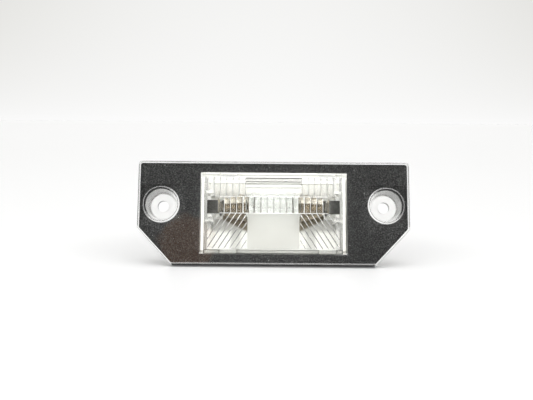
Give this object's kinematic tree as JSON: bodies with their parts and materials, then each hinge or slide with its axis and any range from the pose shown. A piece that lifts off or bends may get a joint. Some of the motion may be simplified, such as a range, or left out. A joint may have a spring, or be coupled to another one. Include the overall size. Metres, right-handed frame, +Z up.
{
  "type": "number plate lamp",
  "caption": "Clear-lens car number plate lamp with a black face mask, fluted window, screw cups, festoon bulb on a white carrier and a plug socket behind.",
  "frame": {"origin": "midway between the two screw holes, on the plane of the screw cups' rear faces, where they meet the car body", "axes": "+X across the lamp along the line of the screws, +Y from the face into the car body, +Z up"},
  "size_m": [0.092, 0.0271, 0.035],
  "materials": {
    "clear_plastic": "clear",
    "black_plastic": "fine grain",
    "seal_rubber": "matte",
    "white_plastic": "satin",
    "contact_metal": "tinned",
    "bulb_glass": "clear",
    "cap_metal": "nickel plated",
    "wire_metal": "drawn",
    "filament_metal": "wound"
  },
  "bodies": {
    "root": {"lens": "clear_plastic", "face_mask": "black_plastic", "carrier_seal": "seal_rubber", "bulb_carrier": "white_plastic", "contact_left": "contact_metal", "contact_right": "contact_metal", "bulb_glass": "bulb_glass", "bulb_cap_left": "cap_metal", "bulb_cap_right": "cap_metal", "lead_wire_left": "wire_metal", "lead_wire_right": "wire_metal", "filament": "filament_metal"}
  },
  "joints": []
}
